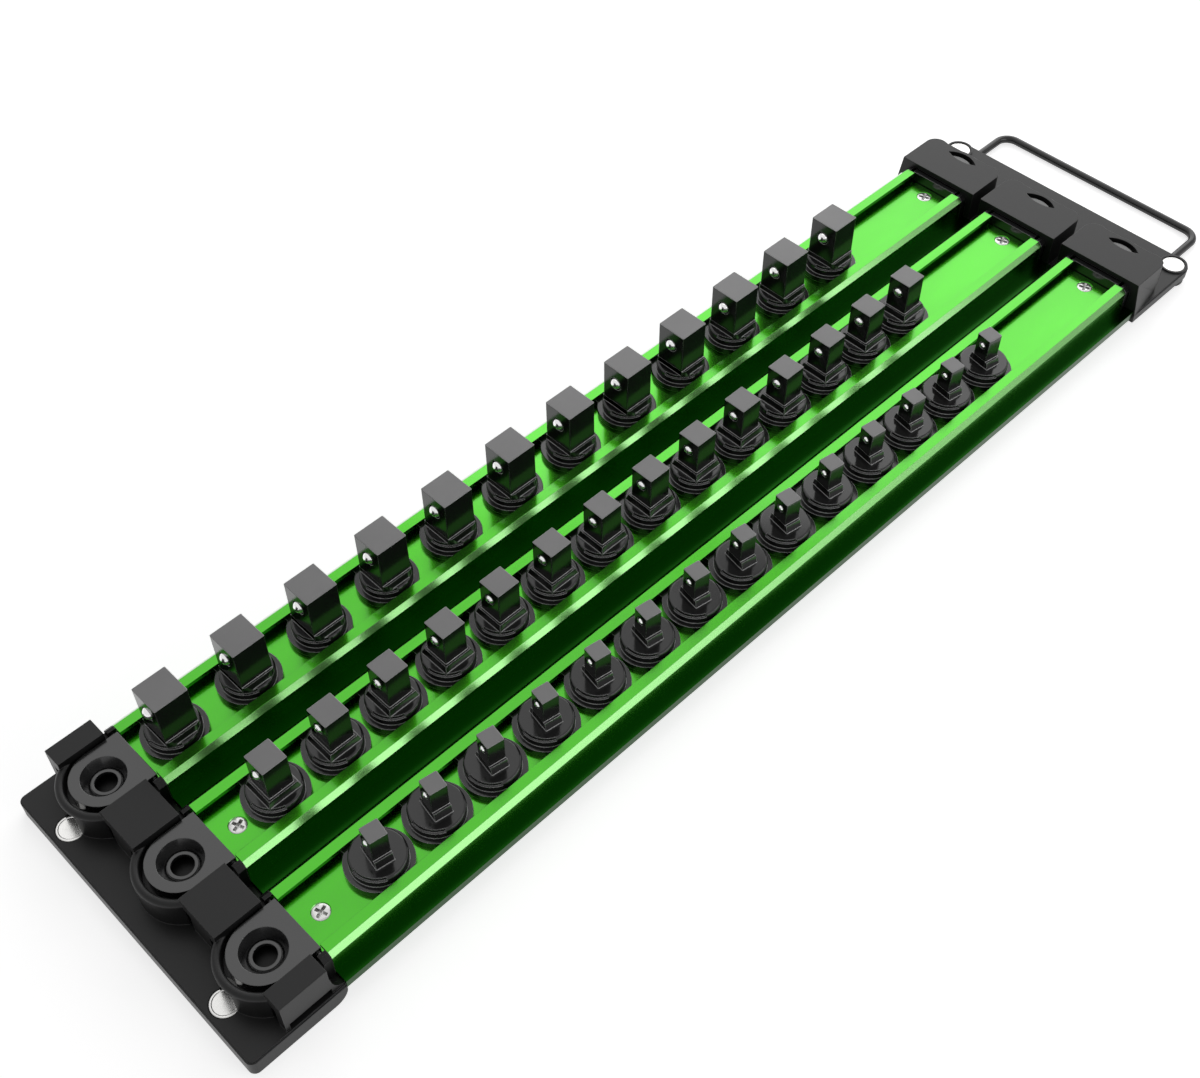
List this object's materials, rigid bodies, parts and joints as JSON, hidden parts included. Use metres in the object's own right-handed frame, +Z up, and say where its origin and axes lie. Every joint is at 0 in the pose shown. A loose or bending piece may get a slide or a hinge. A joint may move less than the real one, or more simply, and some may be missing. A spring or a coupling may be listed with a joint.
{
  "type": "socket rail tray",
  "caption": "Low socket tray with green aluminium channel rails, sliding drive-stud clips, moulded end trays, release tongues, corner magnets and a wire carrying handle.",
  "frame": {"origin": "middle of the bounding box's bottom face, on the surface that the tray lies on", "axes": "+X along the rails towards the wire handle, +Y towards the half inch rail, +Z up"},
  "size_m": [0.5164, 0.124, 0.0397],
  "materials": {
    "rail_aluminium": "green anodised, satin gloss",
    "base": "dark green anodised, glossy",
    "tray_plastic": "black, fine satin grain",
    "fitting_plastic": "dark grey, satin",
    "clip_plastic": "black, semi-gloss",
    "detent_ball": "polished",
    "magnet": "nickel plated",
    "zinc_screw": "zinc plated",
    "black_screw": "black oxide",
    "handle_wire": "black powder coat"
  },
  "bodies": {
    "tray": {"base_plate": "base", "near_end_tray": "tray_plastic", "far_end_tray": "tray_plastic", "handle": "handle_wire", "near_magnets": "magnet", "far_magnets": "magnet", "rail_half_inch": "rail_aluminium", "rail_three_eighths": "rail_aluminium", "rail_quarter": "rail_aluminium", "near_fitting_half_inch": "fitting_plastic", "near_fitting_three_eighths": "fitting_plastic", "near_fitting_quarter": "fitting_plastic", "far_fitting_half_inch": "fitting_plastic", "far_fitting_three_eighths": "fitting_plastic", "far_fitting_quarter": "fitting_plastic", "rail_screws": "zinc_screw", "tray_screws": "black_screw"},
    "release_tongue_half_inch": {"release_tongue_half_inch": "fitting_plastic"},
    "release_tongue_three_eighths": {"release_tongue_three_eighths": "fitting_plastic"},
    "release_tongue_quarter": {"release_tongue_quarter": "fitting_plastic"},
    "clip_half_inch_01": {"clip_half_inch_01": "clip_plastic"},
    "clip_half_inch_02": {"clip_half_inch_02": "clip_plastic"},
    "clip_half_inch_03": {"clip_half_inch_03": "clip_plastic"},
    "clip_half_inch_04": {"clip_half_inch_04": "clip_plastic"},
    "clip_half_inch_05": {"clip_half_inch_05": "clip_plastic"},
    "clip_half_inch_06": {"clip_half_inch_06": "clip_plastic"},
    "clip_half_inch_07": {"clip_half_inch_07": "clip_plastic"},
    "clip_half_inch_08": {"clip_half_inch_08": "clip_plastic"},
    "clip_half_inch_09": {"clip_half_inch_09": "clip_plastic"},
    "clip_half_inch_10": {"clip_half_inch_10": "clip_plastic"},
    "clip_half_inch_11": {"clip_half_inch_11": "clip_plastic"},
    "clip_half_inch_12": {"clip_half_inch_12": "clip_plastic"},
    "clip_three_eighths_01": {"clip_three_eighths_01": "clip_plastic"},
    "clip_three_eighths_02": {"clip_three_eighths_02": "clip_plastic"},
    "clip_three_eighths_03": {"clip_three_eighths_03": "clip_plastic"},
    "clip_three_eighths_04": {"clip_three_eighths_04": "clip_plastic"},
    "clip_three_eighths_05": {"clip_three_eighths_05": "clip_plastic"},
    "clip_three_eighths_06": {"clip_three_eighths_06": "clip_plastic"},
    "clip_three_eighths_07": {"clip_three_eighths_07": "clip_plastic"},
    "clip_three_eighths_08": {"clip_three_eighths_08": "clip_plastic"},
    "clip_three_eighths_09": {"clip_three_eighths_09": "clip_plastic"},
    "clip_three_eighths_10": {"clip_three_eighths_10": "clip_plastic"},
    "clip_three_eighths_11": {"clip_three_eighths_11": "clip_plastic"},
    "clip_three_eighths_12": {"clip_three_eighths_12": "clip_plastic"},
    "clip_three_eighths_13": {"clip_three_eighths_13": "clip_plastic"},
    "clip_three_eighths_14": {"clip_three_eighths_14": "clip_plastic"},
    "clip_quarter_01": {"clip_quarter_01": "clip_plastic"},
    "clip_quarter_02": {"clip_quarter_02": "clip_plastic"},
    "clip_quarter_03": {"clip_quarter_03": "clip_plastic"},
    "clip_quarter_04": {"clip_quarter_04": "clip_plastic"},
    "clip_quarter_05": {"clip_quarter_05": "clip_plastic"},
    "clip_quarter_06": {"clip_quarter_06": "clip_plastic"},
    "clip_quarter_07": {"clip_quarter_07": "clip_plastic"},
    "clip_quarter_08": {"clip_quarter_08": "clip_plastic"},
    "clip_quarter_09": {"clip_quarter_09": "clip_plastic"},
    "clip_quarter_10": {"clip_quarter_10": "clip_plastic"},
    "clip_quarter_11": {"clip_quarter_11": "clip_plastic"},
    "clip_quarter_12": {"clip_quarter_12": "clip_plastic"},
    "clip_quarter_13": {"clip_quarter_13": "clip_plastic"},
    "clip_quarter_14": {"clip_quarter_14": "clip_plastic"}
  },
  "joints": [
    {"name": "release_tongue_half_inch_lift", "type": "hinge", "parent": "tray", "child": "release_tongue_half_inch", "pos_m": [-0.22455, 0.0412, 0.0166], "axis": [0, 1, 0], "range_deg": [0, 8], "stiffness_Nm_per_rad": 0.02, "springref_deg": -1.72},
    {"name": "release_tongue_three_eighths_lift", "type": "hinge", "parent": "tray", "child": "release_tongue_three_eighths", "pos_m": [-0.22455, 0, 0.0166], "axis": [0, 1, 0], "range_deg": [0, 8], "stiffness_Nm_per_rad": 0.02, "springref_deg": -1.72},
    {"name": "release_tongue_quarter_lift", "type": "hinge", "parent": "tray", "child": "release_tongue_quarter", "pos_m": [-0.22455, -0.0412, 0.0166], "axis": [0, 1, 0], "range_deg": [0, 8], "stiffness_Nm_per_rad": 0.02, "springref_deg": -1.72},
    {"name": "clip_half_inch_01_slide", "type": "slide", "parent": "tray", "child": "clip_half_inch_01", "axis": [1, 0, 0], "range_m": [-0.002, 0.00351]},
    {"name": "clip_half_inch_02_slide", "type": "slide", "parent": "tray", "child": "clip_half_inch_02", "axis": [1, 0, 0], "range_m": [-0.00351, 0.00351]},
    {"name": "clip_half_inch_03_slide", "type": "slide", "parent": "tray", "child": "clip_half_inch_03", "axis": [1, 0, 0], "range_m": [-0.00351, 0.00351]},
    {"name": "clip_half_inch_04_slide", "type": "slide", "parent": "tray", "child": "clip_half_inch_04", "axis": [1, 0, 0], "range_m": [-0.00351, 0.00351]},
    {"name": "clip_half_inch_05_slide", "type": "slide", "parent": "tray", "child": "clip_half_inch_05", "axis": [1, 0, 0], "range_m": [-0.00351, 0.00351]},
    {"name": "clip_half_inch_06_slide", "type": "slide", "parent": "tray", "child": "clip_half_inch_06", "axis": [1, 0, 0], "range_m": [-0.00351, 0.00351]},
    {"name": "clip_half_inch_07_slide", "type": "slide", "parent": "tray", "child": "clip_half_inch_07", "axis": [1, 0, 0], "range_m": [-0.00351, 0.00351]},
    {"name": "clip_half_inch_08_slide", "type": "slide", "parent": "tray", "child": "clip_half_inch_08", "axis": [1, 0, 0], "range_m": [-0.00351, 0.00351]},
    {"name": "clip_half_inch_09_slide", "type": "slide", "parent": "tray", "child": "clip_half_inch_09", "axis": [1, 0, 0], "range_m": [-0.00351, 0.00351]},
    {"name": "clip_half_inch_10_slide", "type": "slide", "parent": "tray", "child": "clip_half_inch_10", "axis": [1, 0, 0], "range_m": [-0.00351, 0.00351]},
    {"name": "clip_half_inch_11_slide", "type": "slide", "parent": "tray", "child": "clip_half_inch_11", "axis": [1, 0, 0], "range_m": [-0.00351, 0.00351]},
    {"name": "clip_half_inch_12_slide", "type": "slide", "parent": "tray", "child": "clip_half_inch_12", "axis": [1, 0, 0], "range_m": [-0.00351, 0.05812]},
    {"name": "clip_three_eighths_01_slide", "type": "slide", "parent": "tray", "child": "clip_three_eighths_01", "axis": [1, 0, 0], "range_m": [-0.0112, 0.00071]},
    {"name": "clip_three_eighths_02_slide", "type": "slide", "parent": "tray", "child": "clip_three_eighths_02", "axis": [1, 0, 0], "range_m": [-0.00071, 0.00071]},
    {"name": "clip_three_eighths_03_slide", "type": "slide", "parent": "tray", "child": "clip_three_eighths_03", "axis": [1, 0, 0], "range_m": [-0.00071, 0.00071]},
    {"name": "clip_three_eighths_04_slide", "type": "slide", "parent": "tray", "child": "clip_three_eighths_04", "axis": [1, 0, 0], "range_m": [-0.00071, 0.00071]},
    {"name": "clip_three_eighths_05_slide", "type": "slide", "parent": "tray", "child": "clip_three_eighths_05", "axis": [1, 0, 0], "range_m": [-0.00071, 0.00071]},
    {"name": "clip_three_eighths_06_slide", "type": "slide", "parent": "tray", "child": "clip_three_eighths_06", "axis": [1, 0, 0], "range_m": [-0.00071, 0.00071]},
    {"name": "clip_three_eighths_07_slide", "type": "slide", "parent": "tray", "child": "clip_three_eighths_07", "axis": [1, 0, 0], "range_m": [-0.00071, 0.00071]},
    {"name": "clip_three_eighths_08_slide", "type": "slide", "parent": "tray", "child": "clip_three_eighths_08", "axis": [1, 0, 0], "range_m": [-0.00071, 0.00071]},
    {"name": "clip_three_eighths_09_slide", "type": "slide", "parent": "tray", "child": "clip_three_eighths_09", "axis": [1, 0, 0], "range_m": [-0.00071, 0.00071]},
    {"name": "clip_three_eighths_10_slide", "type": "slide", "parent": "tray", "child": "clip_three_eighths_10", "axis": [1, 0, 0], "range_m": [-0.00071, 0.00071]},
    {"name": "clip_three_eighths_11_slide", "type": "slide", "parent": "tray", "child": "clip_three_eighths_11", "axis": [1, 0, 0], "range_m": [-0.00071, 0.00071]},
    {"name": "clip_three_eighths_12_slide", "type": "slide", "parent": "tray", "child": "clip_three_eighths_12", "axis": [1, 0, 0], "range_m": [-0.00071, 0.00071]},
    {"name": "clip_three_eighths_13_slide", "type": "slide", "parent": "tray", "child": "clip_three_eighths_13", "axis": [1, 0, 0], "range_m": [-0.00071, 0.00071]},
    {"name": "clip_three_eighths_14_slide", "type": "slide", "parent": "tray", "child": "clip_three_eighths_14", "axis": [1, 0, 0], "range_m": [-0.00071, 0.06269]},
    {"name": "clip_quarter_01_slide", "type": "slide", "parent": "tray", "child": "clip_quarter_01", "axis": [1, 0, 0], "range_m": [-0.0189, 0.00037]},
    {"name": "clip_quarter_02_slide", "type": "slide", "parent": "tray", "child": "clip_quarter_02", "axis": [1, 0, 0], "range_m": [-0.00037, 0.00037]},
    {"name": "clip_quarter_03_slide", "type": "slide", "parent": "tray", "child": "clip_quarter_03", "axis": [1, 0, 0], "range_m": [-0.00037, 0.00037]},
    {"name": "clip_quarter_04_slide", "type": "slide", "parent": "tray", "child": "clip_quarter_04", "axis": [1, 0, 0], "range_m": [-0.00037, 0.00037]},
    {"name": "clip_quarter_05_slide", "type": "slide", "parent": "tray", "child": "clip_quarter_05", "axis": [1, 0, 0], "range_m": [-0.00037, 0.00037]},
    {"name": "clip_quarter_06_slide", "type": "slide", "parent": "tray", "child": "clip_quarter_06", "axis": [1, 0, 0], "range_m": [-0.00037, 0.00037]},
    {"name": "clip_quarter_07_slide", "type": "slide", "parent": "tray", "child": "clip_quarter_07", "axis": [1, 0, 0], "range_m": [-0.00037, 0.00037]},
    {"name": "clip_quarter_08_slide", "type": "slide", "parent": "tray", "child": "clip_quarter_08", "axis": [1, 0, 0], "range_m": [-0.00037, 0.00037]},
    {"name": "clip_quarter_09_slide", "type": "slide", "parent": "tray", "child": "clip_quarter_09", "axis": [1, 0, 0], "range_m": [-0.00037, 0.00037]},
    {"name": "clip_quarter_10_slide", "type": "slide", "parent": "tray", "child": "clip_quarter_10", "axis": [1, 0, 0], "range_m": [-0.00037, 0.00037]},
    {"name": "clip_quarter_11_slide", "type": "slide", "parent": "tray", "child": "clip_quarter_11", "axis": [1, 0, 0], "range_m": [-0.00037, 0.00037]},
    {"name": "clip_quarter_12_slide", "type": "slide", "parent": "tray", "child": "clip_quarter_12", "axis": [1, 0, 0], "range_m": [-0.00037, 0.00037]},
    {"name": "clip_quarter_13_slide", "type": "slide", "parent": "tray", "child": "clip_quarter_13", "axis": [1, 0, 0], "range_m": [-0.00037, 0.00037]},
    {"name": "clip_quarter_14_slide", "type": "slide", "parent": "tray", "child": "clip_quarter_14", "axis": [1, 0, 0], "range_m": [-0.00037, 0.06383]}
  ]
}
